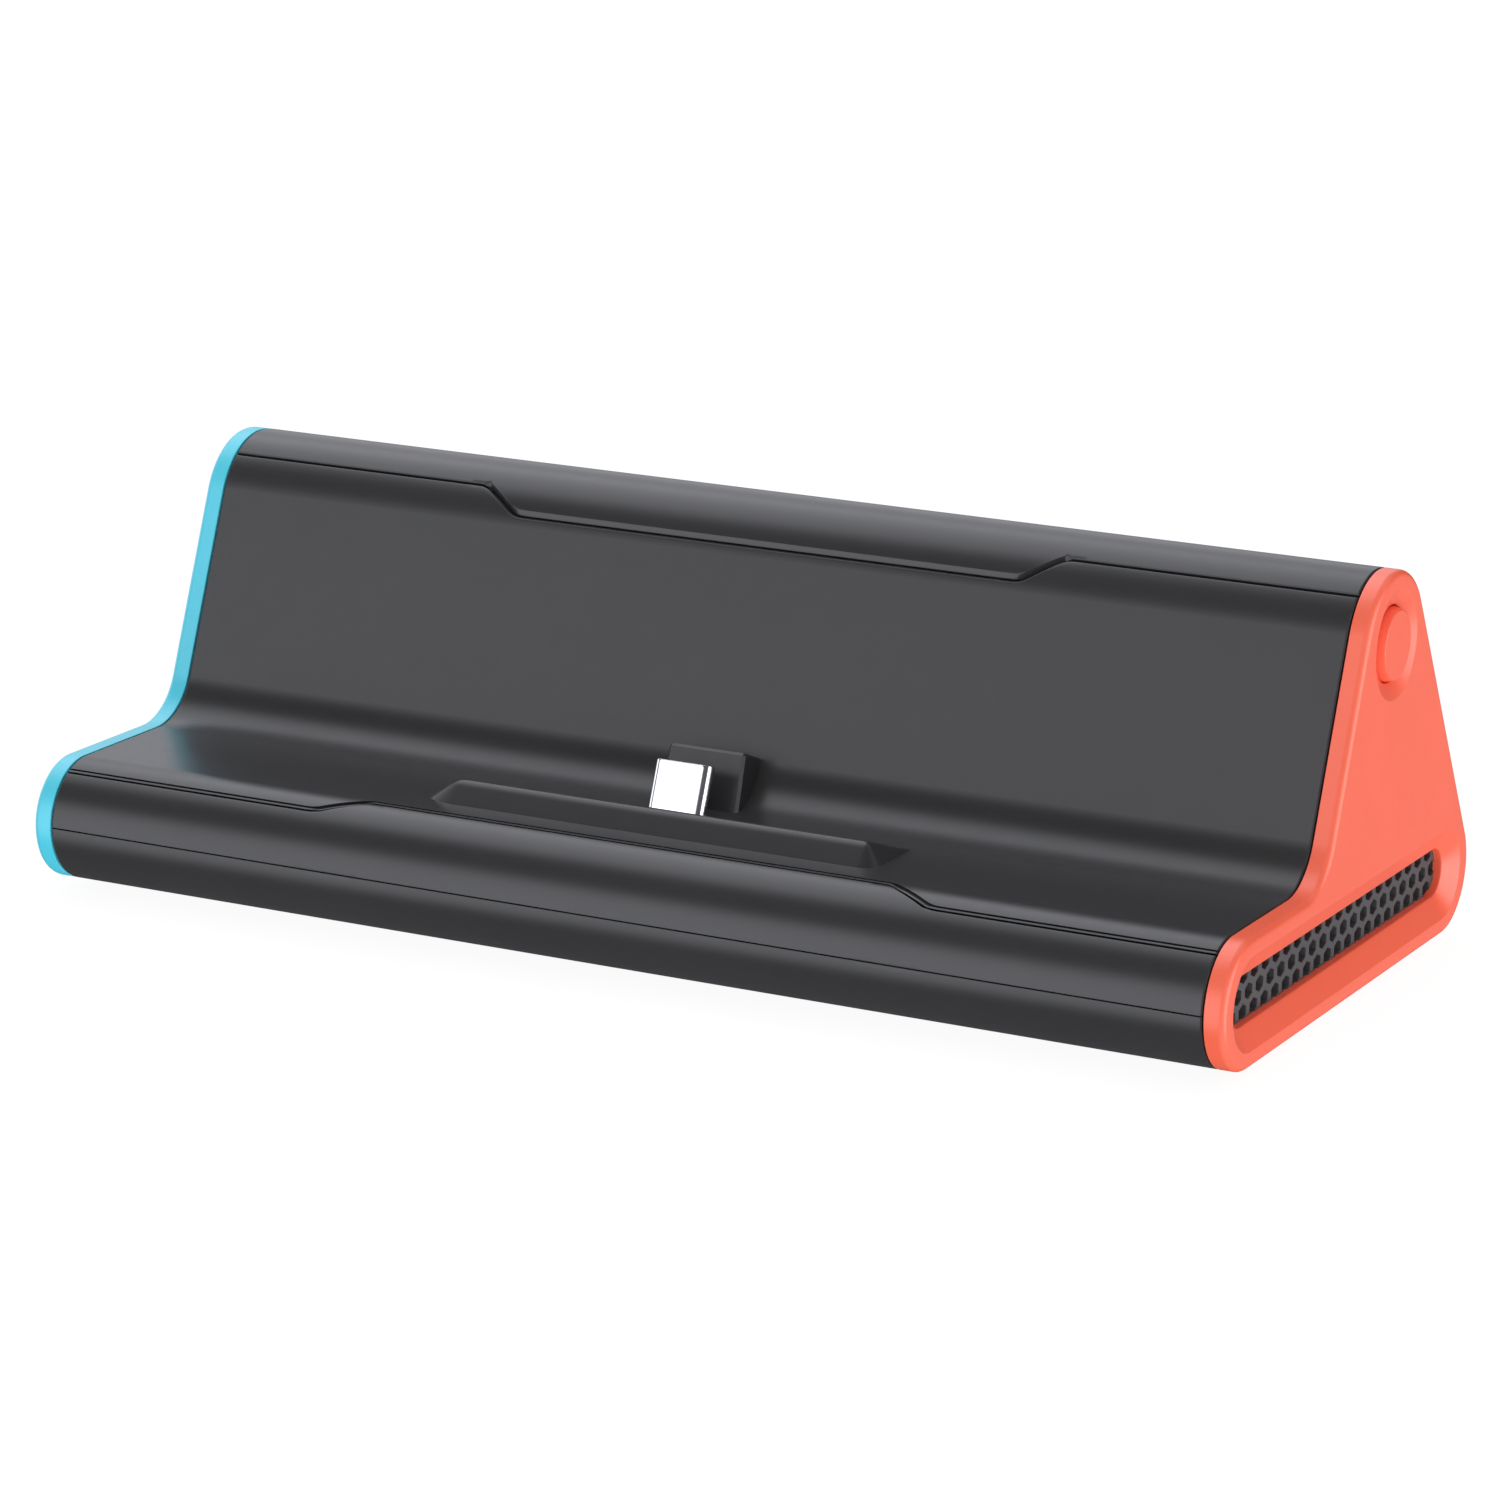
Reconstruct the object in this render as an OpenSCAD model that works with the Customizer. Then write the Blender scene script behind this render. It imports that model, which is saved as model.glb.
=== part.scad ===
// Docking stand for a handheld console: a long wedge-shaped housing with a cradle panel,
// an upright connector plug, coloured end caps with vent grilles and one push button.
// X runs along the length, Y from the nose (front) to the back, Z up from the feet.

/* [Housing] */
// Length of the black body between the two end caps
body_len = 178; // [170:1:190]
// Height of the flat deck above the underside of the base, which is also the nose diameter
deck_h = 18; // [17:0.5:19]
// Depth of the housing from the nose to the back
body_depth = 90; // [88:1:94]
// Lean of the backrest from the vertical, in degrees
back_tilt = 20.7; // [18:0.1:22]
// Radius of the rounded top
top_r = 11.06; // [10.8:0.02:11.4]
// Depth position of the top's centre, from the nose
top_y = 56.7; // [56:0.1:58]
// Height of the top's centre above the underside of the base
top_z = 46.4; // [45.5:0.1:47.5]
// Radius of the hollow between the deck and the backrest
fillet_r = 9.2; // [8:0.1:10]
// Height of the parting line between the base and the upper shell
seam_z = 9.25; // [9:0.05:9.5]
// Wall thickness of both shells
wall = 2.6; // [2.4:0.1:2.8]

/* [Cradle panel] */
// Thickness of the panel that lines the cradle
panel_t = 1.2; // [1:0.1:1.3]
// Depth position of the panel's front edge near the ends
front_edge_y = 4.8; // [4:0.1:5.5]
// Depth position of the panel's front edge in the middle
front_notch_y = 8; // [7.5:0.1:9]
// Distance of the panel's top edge along the backrest, near the ends
top_edge_s = 69.1; // [68.5:0.1:70]
// Distance of the panel's top edge along the backrest, in the middle
top_notch_s = 65.4; // [65:0.1:66]
// Half length of the middle part of both edges
notch_half = 40.5; // [38:0.5:42]
// Length of the slanted step at each end of the front notch
front_step = 8; // [6:0.5:9]
// Length of the slanted step at each end of the top notch
top_step = 5.5; // [4:0.5:8]
// Height of the console rest above the deck
ridge_h = 2.8; // [2.4:0.1:3]
// Half length of the console rest along its crest
ridge_half = 31; // [28:0.5:33]

/* [Plug] */
// Width of the connector plug
plug_w = 8.25; // [8.2:0.01:8.3]
// Thickness of the connector plug
plug_t = 2.4; // [2.35:0.01:2.45]
// Length of the plug's metal shell
plug_len = 14; // [13:0.5:15]
// Width of the padded block behind the plug
block_w = 11.8; // [11:0.1:13]
// Distance from the plug's centre line to the face of the block behind it
block_gap = 5.15; // [4.9:0.05:5.6]
// Distance from the plug's tip level up to the top of the block, along the plug
block_top = 2.6; // [1:0.1:3]

/* [End caps] */
// Thickness of each end cap
cap_t = 3.1; // [3:0.05:3.3]
// Outer radius of the vent recess
vent_r = 6.5; // [6:0.1:6.6]
// Radius of the vent opening at the bottom of the recess
vent_inner_r = 3.5; // [3.2:0.1:3.8]
// Depth of the sloped wall of the vent recess
vent_slope_d = 1.7; // [1.4:0.1:1.9]
// Distance between neighbouring holes along a grille row
mesh_pitch = 3.76; // [3.6:0.02:3.9]
// Distance between grille rows
mesh_row = 2.54; // [2.5:0.01:2.6]

/* [Button] */
// Radius of the push button
button_r = 5.2; // [5:0.05:5.3]
// Radius of the dished recess around the button
dish_r = 7.7; // [7.4:0.1:7.9]
// Travel of the push button
travel = 0.6; // [0.4:0.1:0.6]

/* [Hidden] */
$fn = 64;
eps = 0.01;
foot_h = 1;
nose_r = deck_h / 2;
rear_r = nose_r;
rear_y = body_depth - rear_r;
body_half = body_len / 2;
joint_gap = 0.12;
seam_gap = 0.14;
panel_gap = 0.1;
edge_gap = 0.25;
shell_half = body_half - joint_gap;
cap_in = body_half + joint_gap;
cap_out = body_half + cap_t;
// Unit vectors in the side view: up along the backrest, and square to it towards the back
up_y = sin(back_tilt);
up_z = cos(back_tilt);
back_line = top_y * up_z - top_z * up_y - top_r;
fillet_z = deck_h + fillet_r;
fillet_y = (back_line - fillet_r + fillet_z * up_y) / up_z;
// Angle of the line that touches both the rounded top and the rear corner
rear_run = rear_y - top_y;
rear_drop = top_z - rear_r;
rear_tilt = atan(rear_run / rear_drop)
    - asin((top_r - rear_r) / norm([rear_run, rear_drop]));
rear_ny = cos(rear_tilt);
rear_nz = sin(rear_tilt);
vent_y0 = 9.5;
vent_y1 = 80.1;
vent_wall_d = 1;
grille_t = 0.78;
grille_out = cap_out - vent_slope_d - vent_wall_d;
hole_w = 2;
hole_h = 2.1;
plug_tip = [25.77, 25.08];
plug_clear = 0.3;
button_y = 56.9;
button_z = 47.2;
button_proud = 0.2;
dish_d = 1.05;
button_gap = 0.3;
board_z = 10.6;
board_t = 1.6;
board_top = board_z + board_t;
board_half = 60;
board_y0 = 34;
board_y1 = 78;
post_x = 54;
post_ys = [39, 71];
port_z = 15;
bay_half = 38;
bay_y = 80;
bay_z0 = 10.4;
bay_z1 = 21;
port_skin = 1.4;
data_w = 14.4;
data_h = 6.9;
video_w = 15;
video_h = 5.6;
power_w = 9;
power_h = 3.2;
data_xs = [-27.5, -9.5];
video_x = 10.5;
power_x = 28.5;
foot_x = 82.5;
foot_ys = [16, 74];
foot_len = 12;
foot_w = 8;
foot_sink = 0.6;
ballast_x = 28;
ballast_y = 55;
ballast_size = [40, 26, 4];

// ---- placing helpers ----

// Moves the side-view frame (nose tip, underside of the base) to the part's own frame
module place() {
    translate([0, -body_depth / 2, foot_h]) children();
}

// Draws a side-view outline from x0 to x1 along the length
module along_x(x0, x1) {
    translate([x0, 0, 0]) rotate([90, 0, 90]) linear_extrude(x1 - x0) children();
}

// Draws a front-view outline from y0 to y1 in depth
module along_y(y0, y1) {
    translate([0, y1, 0]) rotate([90, 0, 0]) linear_extrude(y1 - y0) children();
}

// Moves to the plug's frame: X along the length, Z down its centre line from the tip
module at_plug() {
    translate([0, plug_tip[0], plug_tip[1]]) rotate([-back_tilt, 0, 0]) children();
}

// A box given by its low and high corners
module block(low, high) {
    translate(low) cube(high - low);
}

// ---- side-view outlines ----

// Outline of the housing, moved inwards by inset
module profile(inset) {
    difference() {
        union() {
            translate([nose_r, nose_r]) circle(nose_r - inset);
            translate([rear_y, rear_r]) circle(rear_r - inset);
            translate([top_y, top_z]) circle(top_r - inset);
            polygon([
                [nose_r, inset],
                [rear_y, inset],
                [rear_y + (rear_r - inset) * rear_ny, rear_r + (rear_r - inset) * rear_nz],
                [top_y + (top_r - inset) * rear_ny, top_z + (top_r - inset) * rear_nz],
                [top_y - (top_r - inset) * up_z, top_z + (top_r - inset) * up_y],
                [fillet_y + (fillet_r + inset) * up_z, fillet_z - (fillet_r + inset) * up_y],
                [fillet_y, deck_h - inset],
                [nose_r, deck_h - inset]
            ]);
        }
        translate([fillet_y, fillet_z]) circle(fillet_r + inset);
    }
}

// Band of the outline between two insets
module ring(outer, inner) {
    difference() {
        profile(outer);
        profile(inner);
    }
}

// Everything above or below a height
module above(z) {
    translate([-10, z]) square([body_depth + 20, 80]);
}
module below(z) {
    translate([-10, z - 80]) square([body_depth + 20, 80]);
}

// Open space in front of the backrest and above the deck, down into the walls
module cradle_side() {
    polygon([[0, 11], [30, 11], [46, 20], [55, 48], [56.7, 54], [48, 66], [0, 66]]);
}

// Solid in plan that reaches from the panel's front edge backwards
module behind_front_edge(grow) {
    y_end = front_edge_y - grow;
    y_mid = front_notch_y - grow;
    x_end = notch_half + front_step;
    linear_extrude(80) polygon([
        [-body_len, y_end], [-x_end, y_end], [-notch_half, y_mid], [notch_half, y_mid],
        [x_end, y_end], [body_len, y_end], [body_len, body_depth], [-body_len, body_depth]
    ]);
}

// Solid square to the backrest that reaches from the panel's top edge downwards
module below_top_edge(grow) {
    s_end = top_edge_s + grow;
    s_mid = top_notch_s + grow;
    x_end = notch_half + top_step;
    rotate([90 - back_tilt, 0, 0]) translate([0, 0, -100]) linear_extrude(200) polygon([
        [-body_len, s_end], [-x_end, s_end], [-notch_half, s_mid], [notch_half, s_mid],
        [x_end, s_end], [body_len, s_end], [body_len, -20], [-body_len, -20]
    ]);
}

// The cradle's lining between two insets, grown by grow at its front and top edges
module lining(half, outer, inner, grow) {
    intersection() {
        along_x(-half, half) intersection() {
            ring(outer, inner);
            cradle_side();
        }
        behind_front_edge(grow);
        below_top_edge(grow);
    }
}

// ---- shells ----

module base_shell() {
    color([0.17, 0.17, 0.175]) place() difference() {
        union() {
            along_x(-shell_half, shell_half) intersection() {
                ring(0, wall);
                below(seam_z - seam_gap);
            }
            along_x(-shell_half + 4, shell_half - 4) lip(-5);
            for (side = [0, 1]) mirror([side, 0, 0])
                along_x(bay_half + 3, shell_half - 4) lip(rear_y);
            for (x = [-foot_x, foot_x], y = foot_ys)
                translate([x, y, wall - eps]) cylinder(h = seam_z - seam_gap - wall, r = 4);
            for (x = [-post_x, post_x], y = post_ys)
                translate([x, y, wall - eps]) cylinder(h = board_z - wall, r = 3);
            for (x = [-ballast_x, ballast_x], dx = [-14, 14])
                translate([x + dx, ballast_y, wall - eps])
                    cylinder(h = ballast_size[2] + 0.1, r = 2.8);
        }
        for (x = [-foot_x, foot_x], y = foot_ys) {
            translate([x, y, -eps]) foot_outline(foot_sink + eps, 0.1);
            translate([x, y, 0]) cylinder(h = 3.2, r = 3.1);
            translate([x, y, 0]) cylinder(h = seam_z, r = 1.7);
        }
        for (x = [-post_x, post_x], y = post_ys)
            translate([x, y, 3]) cylinder(h = board_z, r = 1.05);
        for (x = [-ballast_x, ballast_x], dx = [-14, 14])
            translate([x + dx, ballast_y, 1.8]) cylinder(h = 8, r = 1.05);
        // Shallow blank field for a rating label
        block([-30, 34, -eps], [30, 58, 0.3]);
    }
}

// Lip that stands inside the upper shell, along the nose or along the back
module lip(y0) {
    intersection() {
        union() {
            intersection() {
                ring(wall + 0.15, wall + 1.35);
                below(seam_z + 2);
            }
            intersection() {
                ring(wall - eps, wall + 1.35);
                below(seam_z - 0.7);
            }
        }
        translate([y0, 4]) square([14, 30]);
    }
}

module upper_shell() {
    color([0.19, 0.19, 0.195]) place() {
        difference() {
            union() {
                along_x(-shell_half, shell_half) intersection() {
                    ring(0, wall);
                    above(seam_z + seam_gap);
                }
                bay_walls();
                for (x = [-foot_x, foot_x], y = foot_ys) case_boss(x, y);
                for (x = [-13, 13]) intersection() {
                    at_plug() translate([x, 0, -14]) cylinder(h = 8, r = 2.4);
                    along_x(-20, 20) profile(wall - eps);
                }
                for (x = [77.9, 81.4]) along_x(x, x + 0.8) intersection() {
                    ring(wall - eps, wall + 1.6);
                    above(34);
                }
            }
            lining(body_len, -1, panel_t + panel_gap, edge_gap);
            // Way through the cradle skin for the plug and its moulded base
            at_plug() block([-9.6, -4.6, -13], [9.6, 4.6, 0]);
            along_x(-bay_half, bay_half) polygon([
                [bay_y - port_skin - 0.1, bay_z0], [body_depth + 5, bay_z0],
                [body_depth + 5, bay_z1], [bay_y - port_skin - 0.1, bay_z1]
            ]);
            for (x = [-foot_x, foot_x], y = foot_ys)
                translate([x, y, seam_z]) cylinder(h = 5.3, r = 1.5);
            for (x = [-13, 13])
                at_plug() translate([x, 0, -14.1]) cylinder(h = 4.6, r = 0.85);
        }
    }
}

// Walls of the recess in the back that holds the ports
module bay_walls() {
    intersection() {
        along_x(-bay_half - 1.6, bay_half + 1.6) profile(eps);
        block([-bay_half - 1.6, bay_y - port_skin - 0.1, seam_z + seam_gap],
            [bay_half + 1.6, body_depth, bay_z1 + 1.6]);
    }
}

// Boss under the upper shell that takes a case screw
module case_boss(x, y) {
    intersection() {
        translate([x, y, seam_z + seam_gap]) cylinder(h = 60, r = 3.6);
        along_x(-shell_half, shell_half) profile(panel_t + 0.6);
    }
}

module cradle_panel() {
    color([0.21, 0.21, 0.215]) place() difference() {
        union() {
            lining(shell_half, 0, panel_t, 0);
            console_rest();
            back_block();
        }
        at_plug() plug_outline(30, plug_clear);
    }
}

// Long low wedge that carries the console's lower edge, with slanted ends
module console_rest() {
    foot_y = 12.75;
    crest_y = 15.9;
    crest_z = deck_h + ridge_h;
    end_slope = 0.65;
    root_half = ridge_half + (ridge_h + panel_t) / end_slope;
    rear_foot_y = crest_y + ridge_h / tan(back_tilt);
    intersection() {
        along_x(-root_half, root_half) polygon([
            [foot_y, deck_h], [crest_y, crest_z], [rear_foot_y, deck_h],
            [rear_foot_y, deck_h - panel_t / 2], [foot_y, deck_h - panel_t / 2]
        ]);
        along_y(0, 40) polygon([
            [-ridge_half, crest_z + eps], [ridge_half, crest_z + eps],
            [root_half, deck_h - panel_t], [-root_half, deck_h - panel_t]
        ]);
    }
}

// Padded block that backs the console behind the plug
module back_block() {
    intersection() {
        at_plug() block([-block_w / 2, block_gap, -30], [block_w / 2, 14, block_top]);
        along_x(-20, 20) difference() {
            translate([20, deck_h - panel_t]) square([30, 30]);
            profile(panel_t);
        }
    }
}

// ---- end caps, grilles and button ----

// A round-ended slot shape along Y, as a prism along X
module slot_prism(x0, x1, r) {
    for (y = [vent_y0, vent_y1]) translate([x0, y, nose_r]) rotate([0, 90, 0])
        cylinder(h = x1 - x0, r = r);
    block([x0, vent_y0, nose_r - r], [x1, vent_y1, nose_r + r]);
}

// The sloped part of the vent recess, which widens from r0 at x0 to r1 at x1
module slot_taper(x0, x1, r0, r1) {
    for (y = [vent_y0, vent_y1]) translate([x0, y, nose_r]) rotate([0, 90, 0])
        cylinder(h = x1 - x0, r1 = r0, r2 = r1);
    along_y(vent_y0, vent_y1) polygon([
        [x0, nose_r - r0], [x1, nose_r - r1], [x1, nose_r + r1], [x0, nose_r + r0]
    ]);
}

// Lugs on the back of a cap that key it into the end of the housing
module cap_lugs() {
    x0 = cap_in - 2;
    x1 = cap_in + eps;
    block([x0, 26, wall + 0.15], [x1, 62, wall + 1.35]);
    block([x0, 12, deck_h - wall - 1.35], [x1, 24, deck_h - wall - 0.15]);
    along_x(x0, x1) translate([rear_y, rear_r]) rotate(rear_tilt)
        translate([rear_r - wall - 1.35, 12]) square([1.2, 22]);
}

// End cap for the +X side, with or without the button hole
module cap(with_button) {
    over = 0.2;
    vent_slope = (vent_r - vent_inner_r) / vent_slope_d;
    hole_r = button_r + button_gap;
    dish_slope = (dish_r - hole_r) / dish_d;
    difference() {
        union() {
            along_x(cap_in, cap_out) profile(0);
            cap_lugs();
        }
        slot_prism(cap_in - 5, cap_out, vent_inner_r);
        slot_taper(cap_out - vent_slope_d, cap_out + over,
            vent_inner_r, vent_r + over * vent_slope);
        slot_prism(cap_in - 1, grille_out, 4.8);
        if (with_button) translate([0, button_y, button_z]) rotate([0, 90, 0]) {
            translate([0, 0, cap_in - 5]) cylinder(h = 20, r = hole_r);
            translate([0, 0, cap_out - dish_d]) cylinder(h = dish_d + over,
                r1 = hole_r, r2 = dish_r + over * dish_slope);
        }
    }
}

module left_cap() {
    color([0.38, 0.83, 0.92]) place() mirror([1, 0, 0]) cap(false);
}

module right_cap() {
    color([1, 0.47, 0.38]) place() cap(true);
}

// Perforated plate behind a vent, for the +X side
module grille() {
    columns = floor((vent_y1 - vent_y0 + 2 * vent_inner_r) / mesh_pitch);
    middle_y = (vent_y0 + vent_y1) / 2;
    difference() {
        slot_prism(grille_out - grille_t, grille_out - 0.02, 4.7);
        for (row = [-1, 0, 1], i = [0 : columns]) {
            y = middle_y + (i - columns / 2) * mesh_pitch + (row == 0 ? 0 : mesh_pitch / 2);
            if (abs(y - middle_y) < (vent_y1 - vent_y0) / 2 + 3 - abs(row))
                along_x(grille_out - 2, grille_out + 1) translate([y, nose_r + row * mesh_row])
                    hexagon();
        }
    }
}

// One grille hole, standing on a corner
module hexagon() {
    polygon([
        [0, -hole_h / 2], [hole_w / 2, -hole_h / 4], [hole_w / 2, hole_h / 4],
        [0, hole_h / 2], [-hole_w / 2, hole_h / 4], [-hole_w / 2, -hole_h / 4]
    ]);
}

module left_grille() {
    color([0.2, 0.2, 0.21]) place() mirror([1, 0, 0]) grille();
}

module right_grille() {
    color([0.2, 0.2, 0.21]) place() grille();
}

// Push button: cap with a chamfered edge, retaining flange and stem
module mode_button() {
    chamfer = 0.45;
    color([1, 0.47, 0.38]) place() translate([0, button_y, button_z]) rotate([0, 90, 0]) {
        translate([0, 0, cap_out + button_proud - chamfer])
            cylinder(h = chamfer, r1 = button_r, r2 = button_r - 0.8);
        translate([0, 0, cap_in - 1]) cylinder(h = cap_t - joint_gap + button_proud
            - chamfer + 1, r = button_r);
        translate([0, 0, cap_in - 1]) cylinder(h = 0.9, r = 6);
        translate([0, 0, 84.5]) cylinder(h = cap_in - 85, r = 1.5);
    }
}

// ---- feet ----

// Pill shape in plan, grown by grow, of height h
module foot_outline(h, grow) {
    r = foot_w / 2;
    for (dx = [-1, 1]) translate([dx * (foot_len / 2 - r), 0, 0])
        cylinder(h = h, r = r + grow);
    translate([-(foot_len / 2 - r), -r - grow, 0]) cube([foot_len - 2 * r, 2 * (r + grow), h]);
}

module foot(x, y) {
    color([0.12, 0.12, 0.12]) place() translate([x, y, -foot_h])
        foot_outline(foot_h + foot_sink - 0.02, 0);
}

module foot_front_left() {
    foot(-foot_x, foot_ys[0]);
}

module foot_front_right() {
    foot(foot_x, foot_ys[0]);
}

module foot_rear_left() {
    foot(-foot_x, foot_ys[1]);
}

module foot_rear_right() {
    foot(foot_x, foot_ys[1]);
}

// ---- plug ----

// Round-ended plug outline grown by grow, reaching len down from the tip and 1 above it
module plug_outline(len, grow) {
    r = plug_t / 2 + grow;
    dx = plug_w / 2 - plug_t / 2;
    for (x = [-dx, dx]) translate([x, 0, -len]) cylinder(h = len + 1, r = r);
    block([-dx, -r, -len], [dx, r, 1]);
}

module plug_shell() {
    color([0.9, 0.9, 0.9]) place() at_plug() difference() {
        intersection() {
            plug_outline(plug_len, 0);
            block([-9, -9, -plug_len], [9, 9, 0]);
        }
        intersection() {
            plug_outline(plug_len + 1, -0.25);
            block([-9, -9, -plug_len - 1], [9, 9, 2]);
        }
    }
}

module plug_insulator() {
    color([0.08, 0.08, 0.08]) place() at_plug() difference() {
        intersection() {
            plug_outline(plug_len, -0.27);
            block([-9, -9, -plug_len], [9, 9, -0.3]);
        }
        // Socket that takes the console's tongue
        block([-3.3, -0.42, -6.2], [3.3, 0.42, 1]);
        // Rows of slots that hold the contacts
        for (i = [-5.5 : 1 : 5.5], side = [-1, 1])
            translate([i * 0.5 - 0.13, side > 0 ? 0.4 : -0.66, -6.2]) cube([0.26, 0.26, 5]);
    }
}

module plug_contacts() {
    color([0.85, 0.68, 0.3]) place() at_plug()
        for (i = [-5.5 : 1 : 5.5], side = [-1, 1])
            translate([i * 0.5 - 0.1, side > 0 ? 0.45 : -0.6, -6.15]) cube([0.2, 0.15, 4.6]);
}

// Moulded block under the deck that holds the plug, with a flange for the bracket
module plug_base() {
    color([0.1, 0.1, 0.1]) place() at_plug() difference() {
        union() {
            block([-7, -2.9, -15.6], [7, 2.9, -10.2]);
            block([-9, -4, -14], [9, 4, -12.8]);
        }
        plug_outline(plug_len, 0.02);
        block([-6.2, -0.45, -16], [6.2, 0.45, -plug_len - 0.02]);
    }
}

module plug_bracket() {
    color([0.7, 0.71, 0.72]) place() at_plug() difference() {
        block([-17, -4.2, -15], [17, 4.2, -14.05]);
        block([-7.1, -3, -16], [7.1, 3, -14]);
        for (x = [-13, 13]) translate([x, 0, -16]) cylinder(h = 4, r = 1.2);
    }
}

module plug_bracket_screws() {
    color([0.55, 0.55, 0.57]) place() at_plug() for (x = [-13, 13]) difference() {
        union() {
            translate([x, 0, -16.1]) cylinder(h = 1.1, r = 2);
            translate([x, 0, -15.1]) cylinder(h = 5, r = 0.8);
        }
        translate([x, 0, -16.2]) cylinder(h = 0.6, r = 0.7, $fn = 6);
    }
}

module plug_board() {
    color([0.1, 0.35, 0.22]) place() at_plug() union() {
        block([-6, -0.4, -16.4], [6, 0.4, -plug_len - 0.05]);
        block([-8, -0.4, -20.4], [8, 0.4, -15.7]);
    }
}

// Flat strip of thickness t through the points, in a 2D plane, slightly thicker at its bends
module strip(points, t) {
    for (i = [0 : len(points) - 2]) {
        a = points[i];
        b = points[i + 1];
        translate(a) rotate(atan2(b[1] - a[1], b[0] - a[0])) translate([0, -t / 2])
            square([norm(b - a), t]);
    }
    for (i = [1 : len(points) - 2]) translate(points[i]) circle(t / 2 + 0.03);
}

module plug_flex() {
    color([0.75, 0.45, 0.15]) place() along_x(-5, 5)
        strip([[18.3, 7.6], [17.3, 5], [18.4, 3.5], [30, 3.5], [32.2, 5.5], [32.2, 12],
            [33.6, 13.4], [36.4, 13.4]], 0.3);
}

// ---- main board and what is on it ----

module main_board() {
    color([0.1, 0.35, 0.22]) place() difference() {
        block([-board_half, board_y0, board_z], [board_half, board_y1, board_top]);
        for (x = [-post_x, post_x], y = post_ys)
            translate([x, y, board_z - 1]) cylinder(h = 4, r = 1.6);
    }
}

// A flat package centred at x, y on the board
module package(x, y, w, d, h) {
    block([x - w / 2, y - d / 2, board_top + 0.02], [x + w / 2, y + d / 2, board_top + h]);
}

module hub_chip() {
    color([0.08, 0.08, 0.09]) place() package(0, 53, 14, 14, 1.2);
}

module thermal_pad() {
    color([0.6, 0.6, 0.75]) place() translate([0, 0, 1.2]) package(0, 53, 13, 13, 0.8);
}

module heatsink() {
    fin_t = 1;
    fin_step = 3.1;
    color([0.75, 0.76, 0.78]) place() {
        translate([0, 0, 2]) package(0, 53, 26, 20, 1.6);
        for (i = [-4 : 4]) translate([0, 0, 3.5]) package(i * fin_step, 53, fin_t, 20, 6);
    }
}

module power_chip() {
    color([0.08, 0.08, 0.09]) place() package(36, 52, 8, 8, 1);
}

module inductors() {
    color([0.3, 0.3, 0.32]) place() for (p = [[36, 41], [47, 50], [47, 60]])
        intersection() {
            package(p[0], p[1], 7, 7, 4);
            translate([p[0], p[1], board_top]) cylinder(h = 5, r = 4.3);
        }
}

module capacitors() {
    color([0.65, 0.66, 0.7]) place() for (x = [-49, -41, -33])
        translate([x, 46, board_top + 0.02]) {
            cylinder(h = 6, r = 3);
            translate([-3.4, -3.4, 0]) cube([6.8, 6.8, 0.8]);
        }
}

module crystal() {
    color([0.8, 0.8, 0.8]) place() package(-17, 50, 5, 3.2, 1);
}

module flex_sockets() {
    color([0.9, 0.88, 0.8]) place() {
        difference() {
            package(0, 37.4, 13, 4, 2);
            block([-5.2, 30, 13.2], [5.2, 36.6, 13.6]);
        }
        difference() {
            package(55, 58, 4, 9, 2);
            block([54.4, 54.8, 13.2], [60, 61.2, 13.6]);
        }
    }
}

// Rectangular socket shell with its mouth at the back
module port_shell(x, w, h, z0, wall_t, depth) {
    y1 = bay_y + 0.4;
    difference() {
        block([x - w / 2, y1 - depth, z0], [x + w / 2, y1, z0 + h]);
        block([x - w / 2 + wall_t, y1 - depth + 1.5, z0 + wall_t],
            [x + w / 2 - wall_t, y1 + 1, z0 + h - wall_t]);
    }
}

module data_port(x) {
    color([0.75, 0.76, 0.78]) place()
        port_shell(x, data_w, data_h, board_top + 0.02, 0.9, 13);
}

module data_port_left() {
    data_port(data_xs[0]);
}

module data_port_right() {
    data_port(data_xs[1]);
}

module video_port() {
    cut = 2;
    color([0.75, 0.76, 0.78]) place() difference() {
        port_shell(video_x, video_w, video_h, board_top + 0.02, 0.5, 12);
        for (side = [-1, 1]) along_y(60, 90) polygon([
            [video_x + side * (video_w / 2 + eps), board_top],
            [video_x + side * (video_w / 2 + eps), board_top + 0.5],
            [video_x + side * (video_w / 2 - cut), board_top]
        ]);
    }
}

// Round-ended socket for the supply lead, on a moulded step
module power_port() {
    r = power_h / 2;
    dx = power_w / 2 - r;
    y1 = bay_y + 0.4;
    color([0.75, 0.76, 0.78]) place() translate([power_x, 0, port_z]) difference() {
        union() {
            along_y(y1 - 10, y1) {
                for (x = [-dx, dx]) translate([x, 0]) circle(r);
                translate([-dx, -r]) square([2 * dx, 2 * r]);
            }
            block([-dx, y1 - 10, board_top + 0.02 - port_z], [dx, y1 - 3, -r + 0.2]);
        }
        along_y(y1 - 8.5, y1 + 1) {
            for (x = [-dx, dx]) translate([x, 0]) circle(r - 0.32);
            translate([-dx, 0.32 - r]) square([2 * dx, 2 * r - 0.64]);
        }
    }
}

module port_tongues() {
    color([0.1, 0.1, 0.1]) place() {
        for (x = data_xs)
            block([x - 5.6, bay_y - 11.05, 16], [x + 5.6, bay_y - 1, 17.8]);
        block([video_x - 5.8, bay_y - 10.05, 14.6], [video_x + 5.8, bay_y - 1, 15.6]);
        block([power_x - 3.2, bay_y - 8.05, 14.65], [power_x + 3.2, bay_y - 0.5, 15.35]);
    }
}

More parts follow.
